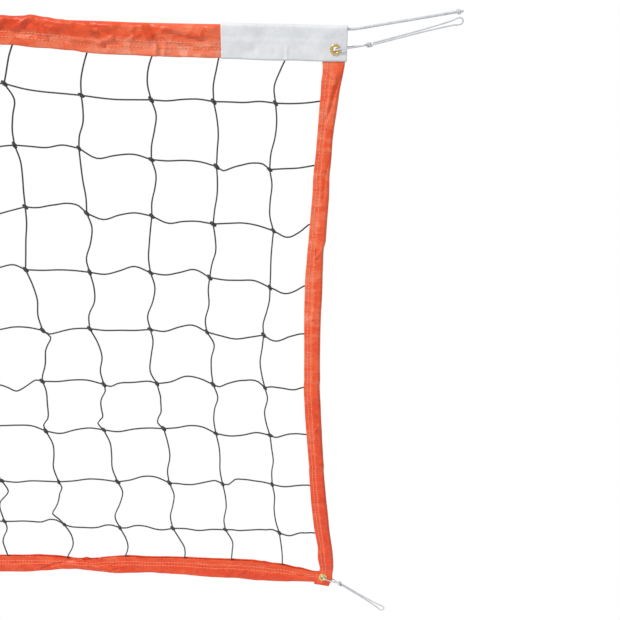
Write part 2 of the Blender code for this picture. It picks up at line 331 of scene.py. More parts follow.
def orange_vinyl(name, stitched_half, paleness, axis, fade, change):
    """Orange coated cloth in crumpled facets, paler where it is stitched, with painted sheen: pale patches,
    streaky marks and facet tones stand in for light caught on the crumples.

    Its paleness also changes along one axis, by change, between the two places of fade.
    """
    m = Nodes(name)
    _, across = m.uv()
    # The patches, the streaky noise and the facet tones are painted sheen: pale where the crumpled vinyl
    # would catch the light
    patches = m.noise(26.0, 4.0, 0.6, 0.8, (1.0, 1.0, 1.8))
    sheen_streaks = m.noise(60.0, 5.0, 0.65, 1.5, (0.35, 1.0, 2.2))
    # Each facet's tone is painted shade and sheen, as if it caught the light its own way, at two sizes
    tone, height = m.facets(58.0, (0.8, 1.0, 1.3))
    fine_facet_shade, fine_height = m.facets(150.0, (0.6, 1.0, 1.3))
    band = m.ramp(across, (0.40, 0.0), (0.56, 1.0))
    # This sum adds the stitched band's own paleness to the painted sheen
    pale_and_sheen = m.maths("MULTIPLY_ADD", band, stitched_half, m.maths("MULTIPLY", patches, 0.42))
    pale_and_sheen = m.maths("MULTIPLY_ADD", tone, 0.22, pale_and_sheen)
    pale_and_sheen = m.maths("MULTIPLY_ADD", fine_facet_shade, 0.06, pale_and_sheen)
    pale_and_sheen = m.maths("MULTIPLY_ADD", m.along(axis, fade), change, pale_and_sheen)
    pale_and_sheen = m.maths("ADD", pale_and_sheen, m.maths("MULTIPLY_ADD", sheen_streaks, 0.50, paleness))
    # The pale end of this ramp is the stitched band's own colour and painted sheen
    colour = m.ramp(
        pale_and_sheen,
        (0.10, (0.67, 0.048, 0.008)),
        (0.34, (0.75, 0.082, 0.018)),
        (0.58, (0.80, 0.165, 0.072)),
        (0.88, (0.86, 0.330, 0.215)),
    )
    m.colour(colour)
    m.rough(sheen_streaks, 0.28, 0.50)
    grain = m.noise(1400.0, 2.0)
    creases = m.noise(150.0, 4.0, 0.6, 1.2, (1.0, 1.0, 0.6))
    bumps = m.maths("MULTIPLY_ADD", creases, 0.3, m.maths("MULTIPLY", grain, 0.08))
    bumps = m.maths("MULTIPLY_ADD", height, 0.8, bumps)
    m.bump(m.maths("MULTIPLY_ADD", fine_height, 0.15, bumps), 0.5, 2.0 * MM)
    m.set(Coat_Weight=0.12, Coat_Roughness=0.2, Specular_IOR_Level=0.35)
    return m.material


def white_vinyl():
    """White coated cloth with a faint grain and soft marks."""
    m = Nodes("white_vinyl")
    patches = m.noise(22.0, 4.0, 0.55, 0.6)
    marks = m.noise(110.0, 5.0, 0.7, 1.0)
    tone = m.maths("MULTIPLY_ADD", marks, 0.35, m.maths("MULTIPLY", patches, 0.65))
    m.colour(m.ramp(tone, (0.30, (0.57, 0.585, 0.605)), (0.72, (0.755, 0.77, 0.79))))
    m.rough(marks, 0.34, 0.52)
    grain = m.noise(1500.0, 2.0)
    dimples = m.noise(75.0, 3.0, 0.5, 0.4)
    m.bump(m.maths("MULTIPLY_ADD", dimples, 0.9, m.maths("MULTIPLY", grain, 0.1)), 0.35, 1.5 * MM)
    return m.material


def black_twine():
    """Black twisted twine, grey where its fibre is worn, with painted shade in the grooves of its twist and
    lighter crests.
    """
    m = Nodes("black_twine")
    along, across = m.uv()
    turns = m.maths("MULTIPLY_ADD", along, 230.0, m.maths("MULTIPLY", across, 3.0))
    twist = m.maths("SINE", m.maths("MULTIPLY", turns, 2 * math.pi))
    worn = m.noise(160.0, 4.0, 0.6)
    # The twist term is painted shade in the twine's grooves with lighter crests; the worn noise is worn fibre
    fibres_and_twist_shade = m.maths("MULTIPLY_ADD", twist, 0.22, worn)
    m.colour(m.ramp(fibres_and_twist_shade, (0.25, (0.012, 0.012, 0.013)), (0.85, (0.060, 0.060, 0.062))))
    m.rough(worn, 0.62, 0.85)
    m.bump(twist, 0.7, 0.5 * MM)
    m.set(Sheen_Weight=0.25, Sheen_Roughness=0.5)
    return m.material


def braided_cord(name, around, pitch, low, high):
    """White braided cord: two sets of strands that cross, with painted shade in the dips between them, and
    random dirt.
    """
    m = Nodes(name)
    along, across = m.uv()
    lead = m.maths("MULTIPLY", along, 1 / pitch)
    turned = m.maths("MULTIPLY", across, float(around))
    waves = [
        m.maths("SINE", m.maths("MULTIPLY", m.maths(way, lead, turned), 2 * math.pi))
        for way in ("ADD", "SUBTRACT")
    ]
    strands = m.maths("MAXIMUM", *waves)
    dirt = m.noise(90.0, 4.0, 0.6)
    # The strands' crossing pattern paints shade in the dips between strands and lighter crests; the dirt
    # noise is random dirt
    tone = m.maths("MULTIPLY_ADD", strands, 0.22, m.maths("MULTIPLY", dirt, 0.9))
    m.colour(m.ramp(tone, (0.15, low), (0.75, high)))
    m.rough(dirt, 0.60, 0.80)
    m.bump(strands, 0.6, 0.35 * MM)
    return m.material


def stitch_thread():
    """Pale thread, tinted by the cloth that it lies on."""
    m = Nodes("stitch_thread")
    tint = m.noise(300.0, 3.0)
    m.colour(m.ramp(tint, (0.3, (0.80, 0.18, 0.09)), (0.7, (0.86, 0.32, 0.20))))
    m.rough(tint, 0.55, 0.75)
    m.bump(m.noise(2500.0, 2.0), 0.4, 0.2 * MM)
    return m.material


def worn_brass():
    """Rolled brass, bright where it rubs and dull in patches."""
    m = Nodes("worn_brass")
    dull = m.noise(420.0, 4.0, 0.6)
    m.colour(m.ramp(dull, (0.30, (0.62, 0.44, 0.13)), (0.70, (0.83, 0.66, 0.28))))
    m.rough(dull, 0.22, 0.42)
    m.bump(m.noise(900.0, 3.0), 0.25, 0.3 * MM)
    m.set(Metallic=1.0)
    return m.material


TOP_ORANGE = orange_vinyl("top_orange_vinyl", 0.26, -0.41, 0, (END - 0.50, END - 0.26), 0.24)
EDGE_ORANGE = orange_vinyl("edge_orange_vinyl", 0.10, -0.20, 2, (0.45, 0.72), -0.24)
WHITE = white_vinyl()
TWINE = black_twine()
THREAD = stitch_thread()
BRASS = worn_brass()
HEADLINE_BRAID = braided_cord("headline_braid", 6, 5.0 * MM, (0.36, 0.37, 0.39), (0.66, 0.68, 0.71))
TIE_BRAID = braided_cord("tie_braid", 4, 3.2 * MM, (0.38, 0.39, 0.41), (0.66, 0.68, 0.71))


# Camera: near the right end of the net, a little above it, looking down at it

LENS = 52.26
CAMERA_BACK = 1.358
CAMERA_RISE = 0.1185
CAMERA_PITCH = math.radians(22.5)
CAMERA_YAW = math.radians(2.0)
CAMERA_ROLL = math.radians(1.0)


def make_camera():
    data = bpy.data.cameras.new("camera")
    data.sensor_width = 36
    data.lens = LENS
    obj = bpy.data.objects.new("camera", data)
    bpy.context.scene.collection.objects.link(obj)
    obj.matrix_world = (
        Matrix.Translation((END, -CAMERA_BACK, TOP_Z + CAMERA_RISE))
        @ Matrix.Rotation(CAMERA_YAW, 4, "Z")
        @ Matrix.Rotation(math.radians(90) - CAMERA_PITCH, 4, "X")
        @ Matrix.Rotation(CAMERA_ROLL, 4, "Z")
    )
    bpy.context.scene.camera = obj


make_camera()


# Cords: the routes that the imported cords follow

HEADLINE_D = 4.0 * MM
TIE_D = 2.2 * MM
# Past the end of the net and up, in millimetres
HEADLINE_LEAD = ((0.3, 0), (8, 0.2), (18, 1.6), (50, 7.4), (90, 14.7), (125, 21.1), (151.2, 25.9))
HEADLINE_KNOT = (158.0, 27.1)
HEADLINE_RISE = math.radians(10.3)
KNOT_LENGTH = 13.0 * MM
# How far a tie cord's loop stands off the grommet's flange, and the radius of its bend through the hole
TIE_PLANE = 1.8 * MM
TIE_BEND = 4.4 * MM
# From the cloth to the grommet's flange, and the flange's thickness
GAP = 0.3 * MM
FLANGE_T = 0.8 * MM
TO_FRONT = Vector((0, -1, 0))

# Each kind of tie cord: its loop's angle and length as far as the knot, its lead's angle and length
TOP_TIE = (math.radians(8.5), 0.049, math.radians(15.5), 0.138)
BOTTOM_TIE = (math.radians(-24.0), 0.034, math.radians(-33.7), 0.102)
# Each level's tie cord, and half the thickness of the cloth that it goes through
TIES = {"top": (TOP_TIE, PANEL_HALF), "bottom": (BOTTOM_TIE, THIN_HALF)}


def slanted(side, angle):
    """The way out and up at this angle on this side of the net, and the way across it."""
    out = Vector((side * math.cos(angle), 0, math.sin(angle)))
    return out, Vector((-side * out.z, 0, side * out.x))


def smooth_route(route, spacing):
    """Points about this far apart on a smooth curve through the route's own points."""
    pts = [Vector(p) for p in route]
    pts = [2 * pts[0] - pts[1]] + pts + [2 * pts[-1] - pts[-2]]
    out = []
    for p0, p1, p2, p3 in zip(pts, pts[1:], pts[2:], pts[3:]):
        steps = max(1, round((p2 - p1).length / spacing))
        pull = (p2 - p1).length
        start = (p2 - p0).normalized() * pull
        end = (p3 - p1).normalized() * pull
        for i in range(steps):
            t = i / steps
            out.append(
                p1 * (2 * t**3 - 3 * t**2 + 1)
                + start * (t**3 - 2 * t**2 + t)
                + p2 * (3 * t**2 - 2 * t**3)
                + end * (t**3 - t**2)
            )
    return out + [pts[-2]]


def cord_tube(line, diameter, sides):
    """A round cord along a line that may turn any way."""
    pts = np.array([tuple(p) for p in line])
    run = np.gradient(pts, axis=0)
    run /= np.linalg.norm(run, axis=1)[:, None]
    normal = np.array([0.13, 0.97, 0.21])
    rings = []
    turn = 2 * math.pi * np.arange(sides) / sides
    for point, way in zip(pts, run):
        normal = normal - way * normal.dot(way)
        normal /= np.linalg.norm(normal)
        other = np.cross(way, normal)
        rings.append(
            point + diameter / 2 * (np.outer(np.cos(turn), normal) + np.outer(np.sin(turn), other))
        )
    length = np.concatenate([[0.0], np.cumsum(np.linalg.norm(np.diff(pts, axis=0), axis=1))])
    return rings, length


def cord_mesh(name, lines, diameter, sides=12):
    shape = Shape()
    for line in lines:
        rings, length = cord_tube(line, diameter, sides)
        shape.rings(rings, length, np.linspace(0, 1, sides + 1))
    return shape.mesh(name)


COIL_STEPS = 16


def cord_knot(name, centre, run, across, diameter, turns):
    """A tight knot: turns wound round the strands, and one strand that crosses over them."""
    reach = 0.5 * KNOT_LENGTH - 0.5 * diameter
    winding = 1.12 * diameter
    span = 0.86 * diameter * turns
    steps = round(turns * COIL_STEPS)
    coil = []
    for i in range(steps + 1):
        angle = 2 * math.pi * i / COIL_STEPS
        ease = 1.0 - 0.22 * abs(2 * i / steps - 1) ** 3
        coil.append(
            centre
            + run * (span * (i / steps - 0.5))
            + winding * ease * (across * math.cos(angle) * 1.12 + TO_FRONT * math.sin(angle))
        )
    crossing = [
        centre + run * reach * s + (across * n + TO_FRONT * out) * diameter
        for s, n, out in (
            (-0.95, 0.25, 0), (-0.60, 1.10, 1.25), (0, 0.30, 1.95), (0.60, -1.10, 1.25), (0.95, -0.25, 0)
        )
    ]
    core = [centre - run * reach, centre, centre + run * reach]
    lines = [coil, smooth_route(crossing, diameter / 3), smooth_route(core, diameter / 2)]
    return cord_mesh(name, lines, diameter, 10)


def headline_ends():
    """The headline's lead and stopper knot at each end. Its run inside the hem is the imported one."""
    inner_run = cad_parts["headline"].data
    inner_run.materials.clear()
    inner_run.materials.append(HEADLINE_BRAID)
    for name, side in SIDES.items():
        *route, centre = [
            Vector((side * (END + out * MM), 0, up * MM)) for out, up in (*HEADLINE_LEAD, HEADLINE_KNOT)
        ]
        line = smooth_route(route, HEADLINE_D / 4)
        node = f"headline_lead_{name}"
        mesh = cord_mesh(node, [line], HEADLINE_D, 16)
        lead = piece(f"headline_rope_{name}", mesh, HEADLINE_BRAID, "headline", "headline", node)
        knot = headline_knot(name, centre, *slanted(side, HEADLINE_RISE))


def headline_knot(name, centre, run, across):
    """The stopper knot: a short fat knot with the cord's cut end past it."""
    d = 0.92 * HEADLINE_D
    wrap = [
        centre
        + run * (0.62 * d * (i / 24 - 1.0))
        + 0.62 * d * (across * math.cos(math.pi * i / 12) + TO_FRONT * math.sin(math.pi * i / 12))
        for i in range(37)
    ]
    core = smooth_route([centre - run * 6.5 * MM, centre, centre + run * 6.4 * MM], d / 3)
    mesh = cord_mesh(f"rope_stopper_{name}", [wrap, core], d, 14)
    return piece(mesh.name, mesh, HEADLINE_BRAID, "headline", "headline", f"headline_knot_{name}")


def tie_loop_route(reach, plane):
    """The loop through a grommet as (out from the grommet, Y), from the knot and back to it."""
    bend, centre = TIE_BEND, TIE_BEND + 0.8 * MM
    slant = bend * math.sqrt(0.5)
    half = [
        (0.8 * MM, plane - bend),
        (centre - slant, plane - bend + slant),
        (centre, plane),
        (0.5 * centre + 0.25 * reach, plane),
        (0.54 * reach, 0.86 * plane),
        (0.74 * reach, 0.45 * plane + 0.1 * MM),
        (reach - KNOT_LENGTH / 2 + 0.2 * MM, 1.25 * MM),
    ]
    return [(s, -y) for s, y in reversed(half)] + [(0.8 * MM, 0.0)] + half


def tie_lead_route(length):
    """Both strands from the knot and the bight that joins them, as (out from the knot, across)."""
    half = [
        (KNOT_LENGTH / 2 - 0.2 * MM, 1.25 * MM),
        (0.3 * length, 1.35 * MM),
        (0.6 * length, 1.7 * MM),
        (length - 15 * MM, 3.2 * MM),
        (length - 6 * MM, 4.7 * MM),
        (length - 1.5 * MM, 3.5 * MM),
    ]
    return half + [(length, 0.0)] + [(s, -n) for s, n in reversed(half)]


def grommet_centre(level, name):
    low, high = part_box(f"grommet_eyelet_{level}_{name}")
    return Vector(((low.x + high.x) / 2, 0, (low.z + high.z) / 2))


def tie_cord(level, name):
    """A tie cord: the loop through its grommet, the knot and the two strands that lead off."""
    (loop_angle, reach, lead_angle, length), half = TIES[level]
    side, end = SIDES[name], f"{level}_{name}"

    def tie_piece(kind, mesh, node):
        return piece(f"tie_{kind}_{end}", mesh, TIE_BRAID, f"tie_{end}", "tie_cord", f"tie_{node}_{end}")

    at = grommet_centre(level, name)
    out, _ = slanted(side, loop_angle)
    plane = half + GAP + FLANGE_T + TIE_PLANE
    loop_route = [at + out * s + Vector((0, y, 0)) for s, y in tie_loop_route(reach, plane)]
    loop = smooth_route(loop_route, TIE_D / 3)
    loop_piece = tie_piece("rope", cord_mesh(f"tie_rope_{end}", [loop], TIE_D), "loop")
    centre = at + out * reach
    run, across = slanted(side, lead_angle)
    lead = smooth_route([centre + run * s + across * n for s, n in tie_lead_route(length)], TIE_D / 3)
    lead_piece = tie_piece("strands", cord_mesh(f"tie_strands_{end}", [lead], TIE_D), "lead")
    run, across = slanted(side, 0.5 * (loop_angle + lead_angle))
    knot = tie_piece("hitch", cord_knot(f"tie_hitch_{end}", centre, run, across, TIE_D, 3.0), "knot")


headline_ends()
for end_name in SIDES:
    for level_name in TIES:
        tie_cord(level_name, end_name)


# Tapes and panels: strips of coated cloth folded in half

WALL = 0.7 * MM
# Half a tape's thickness, near its folded edge and near its open one
TOP_HALVES = (3.3 * MM, 2.1 * MM)
BOTTOM_HALVES = (2.0 * MM, 1.8 * MM)
SIDE_HALVES = (2.4 * MM, 2.4 * MM)
PANEL_HALVES = (PANEL_HALF, 3.6 * MM)

# How far the top edge rises, in millimetres, by distance from the end of the net in metres
TOP_RISE = (
    (0.0, 0.0), (0.30, -0.2), (0.36, 0.8), (0.405, 1.2), (0.423, 2.6), (0.440, 5.0), (0.463, 8.0),
    (0.474, 6.2), (0.488, 5.6), (0.507, 6.6), (0.60, 5.8), (0.72, 3.0), (0.95, 0.0),
)
# How far the top tape's open edge rises
TOP_HEM_RISE = (
    (0.0, 0.0), (0.19, 0.0), (0.276, 0.5), (0.319, 2.0), (0.37, 2.7), (0.385, 4.0), (0.405, 6.8),
    (0.444, 9.0), (0.50, 12.9), (0.60, 11.0), (0.75, 4.0), (0.95, 0.0),
)
# Where the bottom tape is pinched together and how far that reaches, how far in millimetres the
# pinch lifts its folded edge and lowers its open one, and how its open edge is gathered in at the end
PINCH_AT, PINCH_REACH = 0.458, 0.052
PINCH_LIFT, PINCH_LOWER = 8.0, 7.0
BOTTOM_GATHER = ((0.0, 15.0), (0.030, 12.5), (0.062, 6.0), (0.092, 0.0))
# How far the bottom tape's open edge and its folded edge lie off their straight lines
BOTTOM_OPEN_RISE = (
    (0.088, 0.0), (0.107, 1.0), (0.127, 4.0), (0.148, 6.0), (0.28, 6.2), (0.34, 4.2), (0.375, 5.5),
    (0.41, 4.5), (0.46, 2.0), (0.50, 0.8), (0.54, -0.8), (0.58, -3.8), (0.63, -6.0), (0.9, 0.0),
)
BOTTOM_FOLD_RISE = (
    (0.06, 0.0), (0.10, -1.7), (0.14, -1.3), (0.18, 1.9), (0.22, 1.7), (0.28, 5.2), (0.337, 7.0),
    (0.37, 4.4), (0.408, 0.0), (0.43, -1.3), (0.453, -1.7), (0.484, 1.5), (0.504, 2.9), (0.541, 0.3),
    (0.58, -3.8), (0.63, -5.2), (0.9, 0.0),
)
# The side tape's width, and how far its outer edge stands out, in millimetres by depth in metres
SIDE_WIDTH = (
    (0.040, 34.5), (0.07, 30.5), (0.10, 27.5), (0.165, 24.0), (0.21, 25.0), (0.27, 26.5), (0.325, 27.5),
    (0.34, 25.8), (0.40, 28.5), (0.52, 26.5), (0.62, 27.5), (0.74, 26.0), (0.84, 28.0), (0.91, 26.0),
    (0.935, 28.0), (0.966, 24.5), (0.982, 29.0), (0.995, 34.0),
)
SIDE_OUT = (
    (0.05, -0.5), (0.10, -4.8), (0.165, -6.5), (0.21, -4.8), (0.26, -1.8), (0.325, 0.2), (0.34, -1.8),
    (0.37, -0.4), (0.42, 1.2), (0.50, 1.4), (0.57, 1.8), (0.585, 0.6), (0.66, 1.6), (0.74, 1.2), (0.752, 0.0),
    (0.80, 0.6), (0.86, 1.8), (0.93, 5.8), (0.955, 5.8), (0.98, 3.2), (1.0, 3.0),
)
# The side tape's cut bottom corner: how far it is cut in, over what height, and how far it tilts
CORNER_CUT = 6.0 * MM
CORNER_RISE = 16.0 * MM
CORNER_TILT = 0.16

# The cloth lies flat round each grommet and on towards the end of the net
FLAT_OUT = 7 * MM
HOLES = [
    grommet_centre(level, name) + Vector((side * FLAT_OUT, 0, 0))
    for level in TIES
    for name, side in SIDES.items()
]
# Its wrinkles start this far from there, and reach their full height at twice that and a little more
HOLE_REACH = 15 * MM
FREE_REACH = 2.2 * HOLE_REACH


class Strip:
    """A strip of cloth folded in half.

    spine(u) gives its folded edge, the way in and its width, and crumple gives its wrinkles.
    """

    def __init__(self, spine, halves, crumple, seed):
        self.spine = spine
        self.fold_half, self.open_half = halves
        self.crumple = crumple
        self.seed = seed

    def half(self, inward, width):
        """Half the strip's thickness this far in from its folded edge."""
        share = inward / width
        body = self.fold_half + (self.open_half - self.fold_half) * step_up(share, 0.12, 0.52)
        if inward >= self.fold_half:
            return body
        return body * math.sqrt(max(1 - (1 - inward / self.fold_half) ** 2, 0.0))

    def point(self, u, share, face, inset=0.0):
        """A point of the front (-1), fold (0) or back (1), inset by the wall for the inside."""
        edge, way, width = self.spine(u)
        inward = share * width
        place = Vector((edge[0] + way[0] * inward, 0, edge[1] + way[1] * inward))
        free = step_up(min((place - hole).length for hole in HOLES), HOLE_REACH, FREE_REACH)
        free *= step_up(inward, 0.0, 1.6 * self.fold_half)
        out = self.half(inward, width) + free * self.crumple(u, inward, width, face + self.seed)
        inward = max(inward, inset) if share < 0.5 else inward
        out = max(out - inset, 0.0) if inset else out
        return (edge[0] + way[0] * inward, face * out, edge[1] + way[1] * inward)


# Places across a strip from its open edge to its fold, as shares of its width
FOLD_SHARES = (
    1.0, 0.94, 0.88, 0.82, 0.76, 0.70, 0.64, 0.58, 0.52, 0.46, 0.40, 0.34, 0.28, 0.22, 0.17, 0.12, 0.075,
    0.035, 0.01,
)


def strip_mesh(name, strip, places, flip):
    """The whole cloth of a folded strip: outside front and back, then inside back and front.

    flip turns its faces, for a strip whose width lies the other way from where its length runs.
    """
    shares = [*FOLD_SHARES, 0.0, *reversed(FOLD_SHARES)]
    faces = [-1] * len(FOLD_SHARES) + [0] + [1] * len(FOLD_SHARES)
    turn = -1 if flip else 1
    rings = []
    for u in places:
        outer = [strip.point(u, s, f) for s, f in zip(shares, faces)]
        inner = [strip.point(u, s, f, WALL) for s, f in zip(shares, faces)]
        rings.append((outer + inner[::-1])[::turn])
    across = (shares + shares[::-1])[::turn]
    shape = Shape()
    shape.rings(rings, places, across + across[:1], "band")
    return shape.mesh(name)


# Two rows of stitches, as shares of a tape's width in from its folded edge
LEVEL_STITCH_ROWS = (0.55, 0.73)
SIDE_STITCH_ROWS = (0.56, 0.77)
STITCH_PITCH = 5.5 * MM
STITCH_HALF_LENGTH = 2.45 * MM
STITCH_HALF_WIDTH = 0.75 * MM
STITCH_HEIGHT = 0.48 * MM
STITCH_SINK = 0.35
STITCH_JITTER = 0.10 * MM
# A stitch's thickness: places along it, from 0 to 2, and shares of its full size
STITCH_SHAPE = ((0, 0.25), (0.5, 1.0), (1.5, 1.0), (2, 0.25))


def add_stitches(shape, strip, share, face, start, end):
    """A row of stitches: short beads of thread that dip into the cloth at both ends."""
    out = np.array([0.0, face, 0.0])
    turn = [(math.cos(math.pi * k * 0.5), math.sin(math.pi * k * 0.5)) for k in range(4)]
    for i in range(int((end - start) / STITCH_PITCH)):
        u = start + (i + 0.5) * STITCH_PITCH
        ends = [np.array(strip.point(u + s * STITCH_HALF_LENGTH, share, face)) for s in (-1, 0, 1)]
        run = ends[2] - ends[0]
        run /= np.linalg.norm(run)
        across = np.cross(out, run)
        aside = across * STITCH_JITTER * math.sin(12.9 * i)
        rings = []
        for at, size in STITCH_SHAPE:
            low = int(at)
            place = ends[low] + (ends[min(low + 1, 2)] - ends[low]) * (at - low)
            place = place + aside + out * STITCH_HEIGHT * STITCH_SINK * size
            wide, high = size * STITCH_HALF_WIDTH, size * STITCH_HEIGHT
            rings.append([place + across * wide * c + out * high * s for c, s in turn])
        shape.rings(rings, (u, u, u, u), np.linspace(0, 1, 5))


def stations(start, end, fine, coarse, reach):
    """Places along a strip, closer together within this reach of both ends."""
    out = [start]
    while out[-1] < end:
        near = min(out[-1] - start, end - out[-1])
        gap = fine + (coarse - fine) * step_up(near, reach, reach + 0.2)
        out.append(out[-1] + gap)
    if end - out[-2] < 0.4 * fine:
        out.pop()
    out[-1] = end
    return out


# Creases that are folded into the cloth, all in millimetres: their start and their end as distance
# along the tape and in from its folded edge, then how far they stand out and how wide they are. Along
# the level tapes it is the distance from the end of the net, and along the side tapes the depth
TOP_CREASES = (
    (288, 2, 281, 18, -4.6, 2.2), (281, 18, 272, 32, -4.6, 2.4), (272, 32, 275, 50, -4.0, 2.2),
    (300, 4, 290, 26, 2.6, 3.2), (279, 30, 282, 50, 2.6, 1.8), (266, 28, 269, 50, 2.2, 1.8),
    (383, 4, 360, 30, 3.4, 2.4), (378, 2, 345, 18, -2.4, 2.2), (360, 30, 341, 21, 3.0, 2.0),
    (341, 21, 335, 31, -2.4, 1.8), (409, 26, 360, 30, 3.2, 2.0), (409, 26, 397, 38, -2.2, 1.8),
    (392, 11, 364, 13, 2.6, 1.4), (372, 20, 353, 34, -2.6, 2.2), (451, 3, 479, 22, -1.2, 2.4),
    (467, 1, 477, 12, 1.8, 2.4), (444, 18, 440, 30, 2.4, 2.0), (508, 18, 459, 28, -2.6, 3.0),
    (452, 6, 432, 16, 2.4, 1.5), (424, 18, 412, 30, -2.4, 1.8), (500, 6, 520, 20, 2.0, 2.2),
    (335, 8, 316, 14, -2.2, 1.8), (320, 24, 302, 16, 2.4, 1.8), (266, 6, 213, 18, 2.8, 2.2),
    (260, 12, 204, 23, -2.4, 2.0), (250, 26, 200, 30, 1.8, 1.6), (216, 1, 206, 7, -3.0, 1.8),
)
BOTTOM_CREASES = (
    (540, 8, 470, 26, -3.4, 2.6), (525, 22, 455, 12, 3.0, 2.6), (460, 26, 415, 6, 3.6, 2.6),
    (432, 28, 400, 12, -3.2, 2.4), (425, 6, 402, 14, 2.4, 1.8), (405, 10, 330, 16, -1.4, 2.0),
    (300, 4, 262, 10, 1.8, 1.8), (250, 12, 235, 6, -1.2, 1.8), (196, 8, 182, 18, 2.2, 1.6),
    (175, 10, 160, 22, 2.6, 1.8), (160, 22, 148, 8, -1.6, 1.8), (148, 8, 138, 18, 2.2, 1.8),
    (120, 6, 104, 12, 1.8, 1.6), (70, 22, 32, 14, 2.6, 2.4), (78, 10, 30, 6, 2.2, 2.4),
    (60, 16, 28, 10, -2.6, 2.0),
)
SIDE_CREASES = (
    (996, 34.5, 966, 23.5, -3.4, 1.6), (996, 29, 972, 20.5, 4.0, 1.8), (992, 38, 968, 28, 3.6, 1.6),
    (960, 18, 900, 20, -1.0, 2.0), (70, 2, 135, 14, -2.2, 1.8), (70, 10, 120, 15, 1.8, 1.6),
    (200, 4, 260, 10, -1.6, 1.6), (335, 0, 352, 12, 3.0, 1.8), (340, 12, 358, 10, -2.6, 1.6),
    (470, 2, 462, 12, -2.6, 1.6), (575, 1, 570, 14, 2.6, 1.8), (640, 4, 630, 14, -2.4, 1.6),
    (655, 3, 668, 12, 2.4, 1.6), (740, 2, 728, 14, 2.8, 1.6), (815, 2, 806, 12, 2.2, 1.6),
)

# The other wrinkles of each kind of tape: how far it puffs out, its large and its small ridges as
# (height, size, lean) and its swell as (height, length). Heights are in millimetres
TOP_WRINKLES = (2.6, (1.6, 0.052, 1.3), (1.0, 0.026, -1.0), (1.6, 0.060))
BOTTOM_WRINKLES = (1.9, (0.9, 0.060, 1.6), (0.6, 0.030, -1.2), (1.0, 0.080))
SIDE_WRINKLES = (1.7, (0.9, 0.035, 0.5), (0.6, 0.014, 0.2), (1.0, 0.060))
SWELL_WIDTH = 0.030
# How far, in millimetres, cloth can be pressed in before it meets what it holds
TIGHT = 0.1


def fold_line(u, v, size, seed, lean):
    """Thin ridges, like the creases of crumpled cloth: 1 on a ridge, 0 away from it."""
    value = noise.noise(Vector(((u + lean * v) / size, v / (1.5 * size), seed)))
    return max(0.0, 1.0 - 5.0 * abs(value))


def wrinkled(wrinkles, u, inward, seed):
    """How far these wrinkles push slack cloth out, in millimetres."""
    puff, (large, large_size, large_lean), (small, small_size, small_lean), (swell, swell_length) = wrinkles
    return (
        puff
        + large * fold_line(u, inward, large_size, seed, large_lean)
        + small * fold_line(u, inward, small_size, seed + 9, small_lean)
        + swell * noise.noise(Vector((u / swell_length, inward / SWELL_WIDTH, seed + 4)))
    )


def creased(creases, along, inward):
    """How far these creases push the cloth out, in millimetres."""
    along, inward = along / MM, inward / MM
    total = 0.0
    for u0, v0, u1, v1, high, wide in creases:
        run_u, run_v = u1 - u0, v1 - v0
        if abs(along - 0.5 * (u0 + u1)) > abs(run_u) + 20:
            continue
        t = ((along - u0) * run_u + (inward - v0) * run_v) / (run_u**2 + run_v**2)
        nearest = min(max(t, 0.0), 1.0)
        gap = math.hypot(along - u0 - run_u * nearest, inward - v0 - run_v * nearest) / wide
        total += high * max(0.0, 1.0 - 0.55 * gap) ** 1.2
    return total


def looseness(share, least, end):
    """1 near the folded edge of a tape, and down to this least level at its stitches."""
    return 1.0 - (1.0 - least) * step_up(share, 0.45, end)


def crumple_top(x, inward, width, seed):
    bare = 1.0 - 0.85 * step_up(abs(x), PANEL_START - 12 * MM, PANEL_START + 4 * MM)
    slack = looseness(inward / width, 0.45, 0.62) * wrinkled(TOP_WRINKLES, x, inward, seed)
    return MM * max(bare * (slack + creased(TOP_CREASES, END - abs(x), inward)), -TIGHT)


def crumple_bottom(x, inward, width, seed):
    free = step_up(BOTTOM_END - abs(x), -8 * MM, 30 * MM)
    slack = looseness(inward / width, 0.5, 0.65) * wrinkled(BOTTOM_WRINKLES, x, inward, seed)
    return MM * free * max(slack + creased(BOTTOM_CREASES, END - abs(x), inward), -TIGHT)


def crumple_side(depth, inward, width, seed):
    free = step_up(depth, PANEL_WIDTH - 6 * MM, PANEL_WIDTH + 10 * MM)
    slack = looseness(inward / width, 0.5, 0.65) * wrinkled(SIDE_WRINKLES, depth, inward, seed)
    return MM * free * max(slack + creased(SIDE_CREASES, depth, inward), -TIGHT)


def top_spine(x):
    """The top tape runs straight under the header panel, droops and rises near it and wanders on."""
    from_end = END - abs(x)
    free = step_up(from_end, 0.75, 1.0)
    rise = eased(TOP_RISE, from_end) + free * (1.4 + 1.5 * wander(x, 0.19, 2))
    hem = eased(TOP_HEM_RISE, from_end) + 2.0 * free * wander(x, 0.23, 5) + 0.5 * wander(x, 0.03, 8)
    under = step_up(abs(x), PANEL_START - 0.015, PANEL_START)
    rise, hem = rise * (1 - under), hem * (1 - under) + 0.5 * under
    return (x, TOP_Z + rise * MM), (0.0, -1.0), TOP_WIDTH + (rise - hem) * MM


def bottom_spine(x):
    """The bottom tape is gathered at its end, swells and is pinched together further in."""
    from_end = END - abs(x)
    pinch = ridge(from_end - PINCH_AT, PINCH_REACH)
    low = eased(BOTTOM_FOLD_RISE, from_end) + PINCH_LIFT * pinch + wander(x, 0.21, 11)
    narrow = PINCH_LOWER * pinch + eased(BOTTOM_GATHER, from_end)
    high = eased(BOTTOM_OPEN_RISE, from_end) - narrow + wander(x, 0.17, 13)
    return (x, BOTTOM_LOW + low * MM), (0.0, 1.0), BOTTOM_WIDTH + (high - low) * MM


